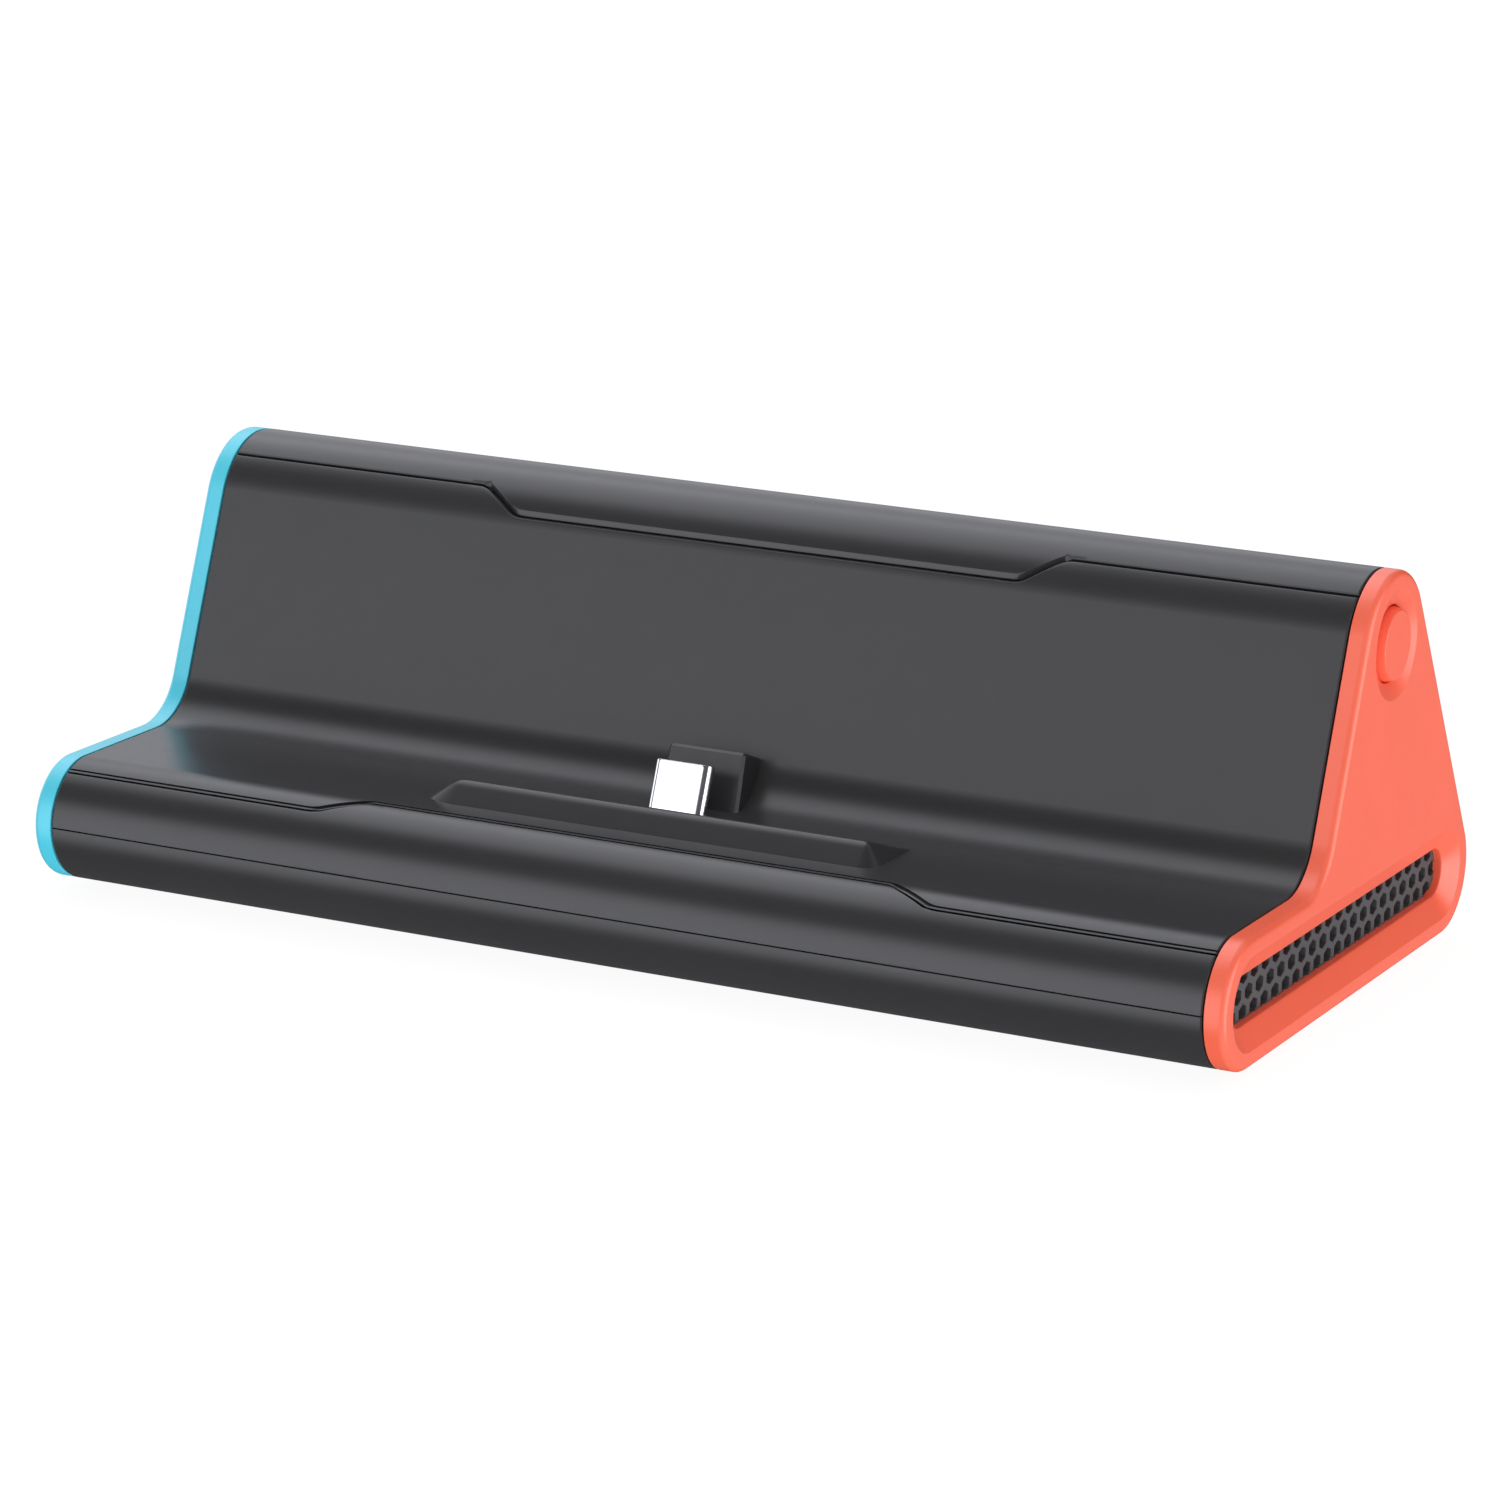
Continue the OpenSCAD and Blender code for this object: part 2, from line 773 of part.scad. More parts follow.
// Flat panel at the bottom of the recess, with an opening for each port
module port_panel() {
    gap = 0.2;
    color([0.17, 0.17, 0.175]) place() difference() {
        block([-bay_half + 0.1, bay_y - port_skin, bay_z0 + 0.1],
            [bay_half - 0.1, bay_y, bay_z1 - 0.1]);
        for (x = data_xs) block([x - data_w / 2 - gap, 70, board_top - gap],
            [x + data_w / 2 + gap, 90, board_top + data_h + gap + 0.02]);
        block([video_x - video_w / 2 - gap, 70, board_top - gap],
            [video_x + video_w / 2 + gap, 90, board_top + video_h + gap + 0.02]);
        translate([power_x, 0, port_z]) along_y(70, 90) {
            dx = (power_w - power_h) / 2;
            for (x = [-dx, dx]) translate([x, 0]) circle(power_h / 2 + gap);
            translate([-dx, -power_h / 2 - gap]) square([2 * dx, power_h + 2 * gap]);
        }
    }
}

// ---- button switch ----

module button_board() {
    color([0.1, 0.35, 0.22]) place() along_x(79.2, 80.8) intersection() {
        profile(wall + 0.3);
        above(42.5);
        below(54);
    }
}

module tact_switch() {
    color([0.12, 0.12, 0.12]) place() translate([0, button_y, button_z]) difference() {
        block([80.82, -3, -3], [83.9, 3, 3]);
        translate([82.2, 0, 0]) rotate([0, 90, 0]) cylinder(h = 3, r = 2);
    }
}

module switch_plunger() {
    color([0.85, 0.85, 0.8]) place() translate([83, button_y, button_z])
        rotate([0, 90, 0]) cylinder(h = 1.4, r = 1.7);
}

module button_flex() {
    color([0.75, 0.45, 0.15]) place() along_y(55, 61)
        strip([[79, 47], [79, 37], [76.8, 33], [76.8, 18], [73, 13.4], [55, 13.4]], 0.3);
}

// ---- ballast and screws ----

module ballast(x) {
    s = ballast_size;
    color([0.5, 0.5, 0.52]) place() difference() {
        block([x - s[0] / 2, ballast_y - s[1] / 2, wall + 0.02],
            [x + s[0] / 2, ballast_y + s[1] / 2, wall + s[2]]);
        for (dx = [-14, 14]) translate([x + dx, ballast_y, 0]) cylinder(h = 10, r = 3.1);
    }
}

module left_ballast() {
    ballast(-ballast_x);
}

module right_ballast() {
    ballast(ballast_x);
}

// Screw pointing down (or up), its head's bearing face at z = 0
module screw(head_r, head_h, shank_r, shank_len) {
    difference() {
        union() {
            cylinder(h = head_h, r = head_r);
            translate([0, 0, -shank_len]) cylinder(h = shank_len + eps, r = shank_r);
        }
        for (a = [0, 90]) rotate(a) block([-head_r * 0.6, -head_r * 0.12, head_h * 0.5],
            [head_r * 0.6, head_r * 0.12, head_h + 1]);
    }
}

module ballast_screws() {
    color([0.6, 0.6, 0.62]) place() for (x = [-ballast_x, ballast_x], dx = [-14, 14])
        translate([x + dx, ballast_y, wall + ballast_size[2] + 0.12]) screw(4.2, 1.3, 1, 4);
}

module board_screws() {
    color([0.6, 0.6, 0.62]) place() for (x = [-post_x, post_x], y = post_ys)
        translate([x, y, board_top + 0.02]) screw(2.6, 1.5, 1, 7);
}

module case_screws() {
    color([0.45, 0.45, 0.47]) place() for (x = [-foot_x, foot_x], y = foot_ys)
        translate([x, y, 3.18]) mirror([0, 0, 1]) screw(2.8, 2, 1.45, 10.6);
}

base_shell();
upper_shell();
cradle_panel();
left_cap();
right_cap();
left_grille();
right_grille();
mode_button();
foot_front_left();
foot_front_right();
foot_rear_left();
foot_rear_right();
plug_shell();
plug_insulator();
plug_contacts();
plug_base();
plug_bracket();
plug_bracket_screws();
plug_board();
plug_flex();
main_board();
hub_chip();
thermal_pad();
heatsink();
power_chip();
inductors();
capacitors();
crystal();
flex_sockets();
video_port();
power_port();
data_port_left();
data_port_right();
port_tongues();
port_panel();
button_board();
tact_switch();
switch_plunger();
button_flex();
left_ballast();
right_ballast();
ballast_screws();
board_screws();
case_screws();
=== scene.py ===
"""Docking stand for a handheld console: the looks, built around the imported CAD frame."""
import math

import bmesh
import bpy
from mathutils import Matrix, Vector


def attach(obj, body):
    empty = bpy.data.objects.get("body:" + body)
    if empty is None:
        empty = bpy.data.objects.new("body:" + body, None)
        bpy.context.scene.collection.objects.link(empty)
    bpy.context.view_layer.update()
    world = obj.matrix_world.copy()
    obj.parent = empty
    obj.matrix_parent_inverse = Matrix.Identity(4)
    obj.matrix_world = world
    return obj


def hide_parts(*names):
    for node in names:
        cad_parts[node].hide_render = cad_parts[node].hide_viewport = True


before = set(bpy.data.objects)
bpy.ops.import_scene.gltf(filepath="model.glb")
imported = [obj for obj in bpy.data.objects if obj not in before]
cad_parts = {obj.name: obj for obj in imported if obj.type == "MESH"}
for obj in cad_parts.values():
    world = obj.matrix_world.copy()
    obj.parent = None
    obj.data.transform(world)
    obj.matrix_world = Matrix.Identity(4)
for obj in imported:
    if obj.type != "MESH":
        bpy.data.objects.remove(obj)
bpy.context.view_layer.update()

# Side-view outline, in millimetres: y from the nose tip, z from the underside of the base
TILT = math.radians(20.7)
NOSE_R, DECK_Z, DEPTH = 9.0, 18.0, 90.0
TOP_Y, TOP_Z, TOP_R, FILLET_R = 56.7, 46.4, 11.06, 9.2
UP_Y, UP_Z = math.sin(TILT), math.cos(TILT)
BACK = TOP_Y * UP_Z - TOP_Z * UP_Y - TOP_R
FILLET_Z = DECK_Z + FILLET_R
FILLET_Y = (BACK - FILLET_R + FILLET_Z * UP_Y) / UP_Z
REAR_Y = DEPTH - NOSE_R
RUN, DROP = REAR_Y - TOP_Y, TOP_Z - NOSE_R
REAR_TILT = math.atan2(RUN, DROP) - math.asin((TOP_R - NOSE_R) / math.hypot(RUN, DROP))
WALL, PANEL_T, SEAM_Z = 2.6, 1.2, 9.25
SHELL_X, CAP_IN, CAP_OUT = 88.88, 89.12, 92.1
TURN = math.pi  # half a turn


def place(x, y, z):
    """A point of the side-view frame, in the row frame and in metres."""
    return Vector((x, y - DEPTH / 2, z + 1.0)) * 0.001


# ---- the outline as a path; s is the distance along it from the nose tip, upwards ----

def arc(cy, cz, r, a0, a1, hollow=1):
    def at(t):
        a = a0 + (a1 - a0) * t
        ny, nz = -math.cos(a), math.sin(a)
        return cy + hollow * r * ny, cz + hollow * r * nz, ny, nz
    return abs(a1 - a0) * r, at, max(2, round(math.degrees(abs(a1 - a0)) / 3.2))


def line(y0, z0, y1, z1, a):
    def at(t):
        return y0 + (y1 - y0) * t, z0 + (z1 - z0) * t, -math.cos(a), math.sin(a)
    return math.hypot(y1 - y0, z1 - z0), at, 1


BACK_A, REAR_A = TILT, TURN - REAR_TILT


def edge(cy, cz, r, a):
    return cy - r * math.cos(a), cz + r * math.sin(a)


PARTS = [
    arc(NOSE_R, NOSE_R, NOSE_R, 0, TURN / 2),
    line(NOSE_R, DECK_Z, FILLET_Y, DECK_Z, TURN / 2),
    arc(FILLET_Y, FILLET_Z, FILLET_R, TURN / 2, BACK_A, -1),
    line(*edge(FILLET_Y, FILLET_Z, -FILLET_R, BACK_A), *edge(TOP_Y, TOP_Z, TOP_R, BACK_A), BACK_A),
    arc(TOP_Y, TOP_Z, TOP_R, BACK_A, REAR_A),
    line(*edge(TOP_Y, TOP_Z, TOP_R, REAR_A), *edge(REAR_Y, NOSE_R, NOSE_R, REAR_A), REAR_A),
    arc(REAR_Y, NOSE_R, NOSE_R, REAR_A, TURN * 1.5),
    line(REAR_Y, 0, NOSE_R, 0, TURN * 1.5),
    arc(NOSE_R, NOSE_R, NOSE_R, TURN * 1.5, TURN * 2),
]
STARTS = [sum(p[0] for p in PARTS[:i]) for i in range(len(PARTS) + 1)]
S_DECK, _, _, S_TOP, S_REAR, S_CORNER, S_BASE, S_NOSE, S_END = STARTS[1:]


def on(s, inset=0.0):
    """(y, z) of the outline at distance s, moved inwards by inset."""
    s = s % S_END
    i = max(k for k in range(len(PARTS)) if STARTS[k] <= s + 1e-9)
    y, z, ny, nz = PARTS[i][1]((s - STARTS[i]) / PARTS[i][0])
    return y - inset * ny, z - inset * nz


def walk(s0, s1, fine=1):
    """Distances from s0 to s1 that follow the arcs closely."""
    out = [s0]
    for k, (length, _, n) in enumerate(PARTS):
        n *= fine if n > 1 else 1
        for i in range(n + 1):
            s = STARTS[k] + length * i / n
            if s0 + 0.08 < s < s1 - 0.08 and s - out[-1] > 0.01:
                out.append(s)
    return out + [s1]


def spread(a, b, n):
    return [a + (b - a) * i / n for i in range(n + 1)]


# ---- mesh helpers ----

def smooth_piece(name, bm, sharp=40, weighted=True):
    bmesh.ops.remove_doubles(bm, verts=bm.verts, dist=2e-7)
    bmesh.ops.recalc_face_normals(bm, faces=bm.faces)
    mesh = bpy.data.meshes.new(name)
    bm.to_mesh(mesh)
    bm.free()
    mesh.shade_smooth()
    mesh.set_sharp_from_angle(angle=math.radians(sharp))
    obj = bpy.data.objects.new(name, mesh)
    bpy.context.scene.collection.objects.link(obj)
    if weighted:
        mod = obj.modifiers.new("normals", "WEIGHTED_NORMAL")
        mod.keep_sharp = True
        mod.weight = 80
    return obj


def ring_faces(bm, a, b):
    """Quads between two closed loops of vertices."""
    for i in range(len(a)):
        j = (i + 1) % len(a)
        quad = [a[i], a[j], b[j], b[i]]
        if len(set(quad)) > 2:
            bm.faces.new(list(dict.fromkeys(quad)))


def add_loop(bm, points):
    return [bm.verts.new(p) for p in points]


def tube(bm, loops, closed_ends=True):
    """Skins a row of closed loops and returns them as vertices."""
    rings = [add_loop(bm, pts) for pts in loops]
    for a, b in zip(rings, rings[1:]):
        ring_faces(bm, a, b)
    if closed_ends:
        bm.faces.new(rings[0][::-1])
        bm.faces.new(rings[-1])
    return rings


def fill(bm, rings):
    """A flat face with holes between closed loops of vertices."""
    edges = []
    for ring in rings:
        for i in range(len(ring)):
            pair = (ring[i], ring[(i + 1) % len(ring)])
            edges.append(bm.edges.get(pair) or bm.edges.new(pair))
    bmesh.ops.triangle_fill(bm, use_beauty=True, use_dissolve=False, edges=edges)


def rounding(r, n=3):
    """Steps (along, down) of a quarter round, from the side face up to the top face."""
    return [(r - r * math.cos(t), r - r * math.sin(t)) for t in
            (TURN / 2 * i / n for i in range(n + 1))]


# A chamfer with softened corners, as (along the surface, depth below it), from the side up
CHAMFER = [(0, 0.46), (0.015, 0.38), (0.06, 0.31), (0.27, 0.08), (0.35, 0.02), (0.46, 0)]


def pill(u, v, half, r, n):
    """Round-ended outline in 2D, long along the first axis."""
    pts = []
    for side, cu in ((1, u + half), (-1, u - half)):
        for i in range(n + 1):
            a = -TURN / 2 + TURN * i / n
            pts.append((cu + side * r * math.cos(a), v + side * r * math.sin(a)))
    return pts


def circle(u, v, r, n):
    """Outline of a circle in 2D, as n points."""
    return [(u + r * math.cos(2 * TURN * i / n), v + r * math.sin(2 * TURN * i / n))
            for i in range(n)]


# ---- the grooves between the panel and the upper shell ----

def ramp(t, w):
    """0 to 1 with rounded corners of half width w."""
    if t <= -w or t >= 1 + w:
        return 0.0 if t < 0.5 else 1.0
    if t < w:
        return (t + w) ** 2 / (4 * w)
    if t > 1 - w:
        return 1 - (1 + w - t) ** 2 / (4 * w)
    return t


def nose_s(y):
    """Distance along the outline where the nose is y behind its tip."""
    return NOSE_R * math.acos((NOSE_R - y) / NOSE_R)


def top_s(up):
    """Distance along the outline where the top round is up high, measured up the backrest."""
    lift = up - (TOP_Y * UP_Y + TOP_Z * UP_Z)
    return S_TOP + TOP_R * math.asin(lift / TOP_R)


# Each edge of the panel steps between two places X: its distances inside and outside the
# step, and how round the step's corners are
FRONT_X, FRONT_S, FRONT_W = (40.8, 47.75), (nose_s(7.86), nose_s(4.29)), 0.16
TOP_X, TOP_S, TOP_W = (40.2, 46.1), (top_s(65.0), top_s(69.1)), 0.21


def front_edge(x):
    t = (abs(x) - FRONT_X[0]) / (FRONT_X[1] - FRONT_X[0])
    return FRONT_S[0] + (FRONT_S[1] - FRONT_S[0]) * ramp(t, FRONT_W)


def top_edge(x):
    t = (abs(x) - TOP_X[0]) / (TOP_X[1] - TOP_X[0])
    return TOP_S[0] + (TOP_S[1] - TOP_S[0]) * ramp(t, TOP_W)


def slope(f, x):
    """How much longer an edge is than its run along X, which is 1 where it is straight."""
    return math.hypot(1, (f(x + 0.02) - f(x - 0.02)) / 0.04)


END_R = 0.25  # radius of the rounded ends of the long pieces


def stations(*more):
    """Positions along X for the long pieces, close together where the grooves step."""
    xs = {0.0, 20.0, 62.0, 75.0, SHELL_X - END_R, SHELL_X - 0.1, SHELL_X - 0.03, SHELL_X}
    for (a, b), w in ((FRONT_X, FRONT_W), (TOP_X, TOP_W)):
        d = (b - a) * w
        xs |= set(spread(a - d, b + d, 22))
    xs |= set(more)
    xs = sorted(xs)
    kept = [xs[0]]
    for x in xs[1:]:
        if x - kept[-1] > 0.012:
            kept.append(x)
    return [-x for x in reversed(kept) if x > 0] + kept


def end_inset(x):
    """How far the skin has sunk at x, where the ends of the long pieces are rounded."""
    d = SHELL_X - abs(x)
    return END_R - math.sqrt(max(0.0, END_R ** 2 - (END_R - d) ** 2)) if d < END_R else 0.0


def loft(name, xs, section, **kw):
    bm = bmesh.new()
    tube(bm, [[place(x, y, z) for y, z in section(x)] for x in xs])
    return smooth_piece(name, bm, **kw)


# Widths of the gaps at the panel's top and front edges, and the reach of its undercut sides
TOP_GAP, FRONT_GAP, UNDERCUT = 0.26, 0.2808, 0.25


def front_rows(x):
    """The panel's front edge as (distance, depth): a narrow strip beside the gap, then a fine
    groove, both with an undercut far side; the strip sinks where the edge steps."""
    k = (front_edge(x) - FRONT_S[1]) / (FRONT_S[0] - FRONT_S[1])
    a, b = 0.36 + 0.12 * k, 0.65 + 0.21 * k
    sunk = 0.3 * min(1.0, (slope(front_edge, x) - 1) / 0.09)
    return [(UNDERCUT, 0.6), (0, 0.02 + sunk), (0.01, 0.004 + sunk), (0.05, sunk),
            (a - 0.08, sunk), (a, 0.06 + sunk), (a + 0.01, 0.42), (b + 0.2, 0.42), (b, 0.02),
            (b + 0.01, 0.004), (b + 0.05, 0)]


def panel_section(x):
    e = end_inset(x)
    p0, p1 = front_edge(x), top_edge(x)
    rows = [(p0 + d, h) for d, h in front_rows(x)]
    rows += [(s, 0) for s in spread(rows[-1][0], S_DECK, 12)[1:]]
    rows += [(s, 0) for s in walk(S_DECK, S_TOP, 2)[1:]]
    rows += [(s, 0) for s in spread(S_TOP, p1 - 0.46, 12)[1:]]
    rows += [(p1 - d, h) for d, h in reversed(CHAMFER[:-1])]
    skin = [on(s, max(h, e)) for s, h in rows]
    return skin + [on(max(s, p0 + UNDERCUT), PANEL_T) for s, _ in reversed(rows)]


# The recess for the rear ports: half length, y of its back wall, bottom and top
BAY_X, BAY_Y, BAY_Z0, BAY_Z1 = 38.0, 78.5, 10.4, 21.0


def rear_at(z):
    """Distance along the outline where the back is at height z."""
    lo, hi = S_REAR, S_CORNER + NOSE_R * (TURN - REAR_A)
    for _ in range(40):
        mid = (lo + hi) / 2
        lo, hi = (mid, hi) if on(mid)[1] > z else (lo, mid)
    return lo


S_BAY1, S_BAY0 = rear_at(BAY_Z1), rear_at(BAY_Z0)
SEAM_UP = NOSE_R * math.asin((SEAM_Z + 0.06 - NOSE_R) / NOSE_R)
SEAM_DOWN = NOSE_R * math.asin((SEAM_Z - 0.06 - NOSE_R) / NOSE_R)
# Radii of the rounded edges at the seam and in front of the panel
SEAM_R, LIP_R = 0.09, 0.16


def bevel_size(x):
    """(length, depth) of the bevel on the shell's edge above the panel."""
    t = min(1.0, max(0.0, (TOP_X[1] + 0.5 - abs(x)) / 0.9))
    steep = min(1.0, (slope(top_edge, x) - 1) / 0.15)
    return 0.14 + (0.62 - 0.1 * steep) * t, 0.12 + (0.26 + 0.55 * steep) * t


def shell_section(x):
    """Upper shell: nose above the seam, ledge under the panel, top, back and rear bay."""
    e = end_inset(x)
    g0 = front_edge(x) - FRONT_GAP * slope(front_edge, x) ** 5
    g1 = top_edge(x) + TOP_GAP * slope(top_edge, x)
    ledge = PANEL_T + 0.1
    # nose, from the seam to the gap at the panel's front edge, then the ledge under the panel
    f, r = SEAM_UP, rear_at(SEAM_Z + 0.1)
    rows = [(f, 1.2)] + [(f + d, h) for d, h in rounding(SEAM_R)]
    rows += [(s, 0) for s in spread(f + SEAM_R, g0 - LIP_R, 26)[1:]]
    rows += [(g0 - d, h) for d, h in reversed(rounding(LIP_R)[:-1])] + [(g0, ledge)]
    rows += [(s, ledge) for s in spread(g0, S_DECK, 4)[1:] + walk(S_DECK, S_TOP)[1:]]
    rows += [(s, ledge) for s in spread(S_TOP, g1, 3)[1:]]
    # bevel above the gap at the panel's top edge, then the top and the back
    length, depth = bevel_size(x)
    rows += [(g1, depth + 0.05), (g1 + 0.04, depth)]
    rows += [(g1 + length * k, depth * (1 - k)) for k in (0.3, 0.6, 0.86)]
    rows += [(g1 + length * 0.95, depth * 0.055), (g1 + length * 1.06, 0)]
    rows += [(s, 0) for s in spread(g1 + length * 1.06, S_REAR, 34)[1:]]
    skin = [on(s, max(h, e)) for s, h in rows]
    inside = [on(s, WALL) for s, _ in reversed(rows)]
    # rear bay, which deepens in a short round at its two ends
    deep = abs(x) <= BAY_X
    lip = 0.0 if deep else max(0.0, 0.3 - (abs(x) - BAY_X)) ** 2 / 0.3
    mouth1 = [(S_BAY1 - d, h) for d, h in ((0.35, 0), (0.14, 0.05), (0.03, 0.16))]
    mouth0 = [(S_BAY0 + d, h) for d, h in ((0.03, 0.16), (0.14, 0.05), (0.35, 0))]
    back = [on(s, max(h if deep else 0, e)) for s, h in [(S_REAR + 8, 0)] + mouth1]
    y1, z1 = on(S_BAY1)
    y0, z0 = on(S_BAY0)
    if deep:
        back += [(y1 - 0.35, z1), (BAY_Y, z1), (BAY_Y, z0), (y0 - 0.35, z0)]
    else:
        back += [on(s, max(e, lip)) for s in spread(S_BAY1 + 0.05, S_BAY0 - 0.05, 3)]
    back += [on(s, max(h if deep else 0, e)) for s, h in mouth0]
    back += [on(s, max(h, e)) for s, h in
             [(r - d, h) for d, h in reversed(rounding(SEAM_R))] + [(r, 1.2)]]
    # inner side, which goes round the bay
    yr, zr = on(r, WALL)
    if deep:
        inner = [(yr, zr), (BAY_Y - 1.3, z0 - 0.95), (BAY_Y - 1.3, z1 + 1.6), (78.4, 23.2)]
    else:
        inner = [(yr, zr)] + [on(s, WALL) for s in (r - 3, S_BAY1 + 1, S_BAY1 - 3)]
    return skin + back + inner + inside


# The shallow recess under the base: half length, front, rear and depth
LABEL_X, LABEL_Y0, LABEL_Y1, LABEL_DEEP = 30.0, 34.0, 58.0, 0.3


def base_section(x):
    """Base shell: back below the seam, flat underside with the recess, nose below the seam."""
    e = end_inset(x)
    r = rear_at(SEAM_Z - 0.1)
    f = S_END + SEAM_DOWN
    deep = LABEL_DEEP if abs(x) <= LABEL_X else 0.0
    rear, front = S_BASE + REAR_Y - LABEL_Y1, S_BASE + REAR_Y - LABEL_Y0
    rows = [(r, 1.2)] + [(r + d, h) for d, h in rounding(SEAM_R)]
    rows += [(s, 0) for s in walk(r + SEAM_R, S_BASE)[1:]]
    rows += [(rear - 0.1, 0), (rear, deep * 0.3), (rear + 0.05, deep)]
    rows += [(front - 0.05, deep), (front, deep * 0.3), (front + 0.1, 0)]
    rows += [(s, 0) for s in spread(S_NOSE, f - SEAM_R, 26)]
    rows += [(f - d, h) for d, h in reversed(rounding(SEAM_R)[:-1])] + [(f, 1.2)]
    skin = [on(s, max(h, e)) for s, h in rows]
    return skin + [on(s, WALL) for s, _ in reversed(rows)]


# ---- parts on the cradle panel ----

# Console rest: its edges on the deck, the height its slopes aim at, and how far each one runs
REST_FRONT, REST_REAR, REST_HALF = 12.75, 24.7, 35.3
REST_TOP, FRONT_RUN, REAR_RUN = 3.11, 3.0, 9.0
LEFT_RUN, RIGHT_RUN = 4.78, 2.5
# The patch that its mesh covers, and the depths of the patch's rim and underside in the deck
PATCH_X, PATCH_Y0, PATCH_Y1, PATCH_RIM, PATCH_UNDER = 36.6, 12.0, 25.0, 0.55, 0.7


def soft_min(a, b, k):
    """The smaller of a and b, blended over a difference of k."""
    h = max(k - abs(a - b), 0) / k
    return min(a, b) - h * h * k / 4


def rest_height(x, y):
    """Height of the console rest above the deck: its front slope turns round each front corner
    into an end slope, and a gentler slope falls to the back."""
    ahead = (y - REST_FRONT) / FRONT_RUN
    aside = (REST_HALF - abs(x)) / (LEFT_RUN if x < 0 else RIGHT_RUN)
    if ahead < 1 and aside < 1:
        rise = 1 - math.hypot(1 - ahead, 1 - aside)
    else:
        rise = min(ahead, aside)
    up = rise * REST_TOP
    return soft_min(up, (REST_REAR - y) * REST_TOP / REAR_RUN, min(1.2, 0.15 + 0.6 * max(0, up)))


def console_rest():
    bm = bmesh.new()
    xs = spread(-PATCH_X, PATCH_X, 244)
    ys = spread(PATCH_Y0, PATCH_Y1, 72)
    grid = [[bm.verts.new(place(x, y, DECK_Z + max(-PATCH_RIM, rest_height(x, y))))
             for y in ys] for x in xs]
    u = [[bm.verts.new(place(x, y, DECK_Z - PATCH_UNDER)) for y in (ys[0], ys[-1])]
         for x in (xs[0], xs[-1])]
    for a, b in zip(grid, grid[1:]):
        for i in range(len(ys) - 1):
            bm.faces.new((a[i], b[i], b[i + 1], a[i + 1]))
    bm.faces.new([u[0][0], u[0][1], u[1][1], u[1][0]])
    bm.faces.new([u[0][1], u[0][0]] + grid[0])
    bm.faces.new([u[1][0], u[1][1]] + grid[-1][::-1])
    bm.faces.new([u[0][0], u[1][0]] + [col[0] for col in reversed(grid)])
    bm.faces.new([u[1][1], u[0][1]] + [col[-1] for col in grid])
    return smooth_piece("console_rest", bm, sharp=60, weighted=False)


TIP_Y, TIP_Z = 25.77, 25.08  # middle of the plug's tip
# The plug's end radius, half of its straight part, its shift along X and its wall
PLUG_R, PLUG_HALF, PLUG_SHIFT, PLUG_WALL = 1.2, 3.2, -0.275, 0.26
# The block's (height along the plug, half width) at its top and its foot; then how far behind
# the plug its front and back are, and its bevel
BLOCK_TOP, BLOCK_FOOT = (2.95, 5.95), (-10.0, 6.6)
BLOCK_FRONT, BLOCK_BACK, BLOCK_BEVEL = 5.15, 13.5, 0.4


def at_plug(x, v, u):
    """A point of the plug's frame: v square to it towards the back, u up along it from the tip."""
    return place(x, TIP_Y + v * UP_Z + u * UP_Y, TIP_Z - v * UP_Y + u * UP_Z)


def plug_block():
    bm = bmesh.new()
    corners = [[bm.verts.new(at_plug(side * half, v, u)) for v in (BLOCK_FRONT, BLOCK_BACK)
                for side in (-1, 1)] for u, half in (BLOCK_TOP, BLOCK_FOOT)]
    a, b = corners
    for q in ((a[0], a[1], a[3], a[2]), (b[0], b[2], b[3], b[1]), (a[0], b[0], b[1], a[1]),
              (a[1], b[1], b[3], a[3]), (a[3], b[3], b[2], a[2]), (a[2], b[2], b[0], a[0])):
        bm.faces.new(q)
    bmesh.ops.recalc_face_normals(bm, faces=bm.faces)
    bmesh.ops.bevel(bm, geom=bm.edges[:], offset=BLOCK_BEVEL * 0.001, segments=1, profile=0.5,
                    affect="EDGES", clamp_overlap=True)
    return smooth_piece("plug_backing", bm, sharp=20)


def plug_skin():
    """The plug's drawn metal shell with a rolled rim, open at the tip."""
    r, bore = PLUG_R, PLUG_R - PLUG_WALL
    levels = [(r, -14.0), (r, -0.3), (r, -0.07), (r - 0.02, -0.02), (r - 0.06, 0.0),
              (r - 0.2, 0.0), (r - 0.24, -0.03), (bore, -0.12), (bore, -0.4), (bore, -13.6)]
    bm = bmesh.new()
    rings = tube(bm, [[at_plug(x, v, u) for x, v in pill(PLUG_SHIFT, 0, PLUG_HALF, ring_r, 14)]
                      for ring_r, u in levels], closed_ends=False)
    ring_faces(bm, rings[-1], rings[0])
    return smooth_piece("plug_metal_shell", bm, sharp=50)


# ---- end caps, grilles and button ----

VENT_Y0, VENT_Y1, VENT_Z = 9.5, 80.1, 9.0
VENT_MID, VENT_HALF = (VENT_Y0 + VENT_Y1) / 2, (VENT_Y1 - VENT_Y0) / 2
BUTTON_Y, BUTTON_Z = 56.9, 47.2
# The grille: its outer face, its plate's thickness and corner radius, and half sizes of a hole
MESH_X, MESH_T, MESH_R, HOLE_W, HOLE_H = 89.4, 1.08, 4.7, 1.27, 1.14
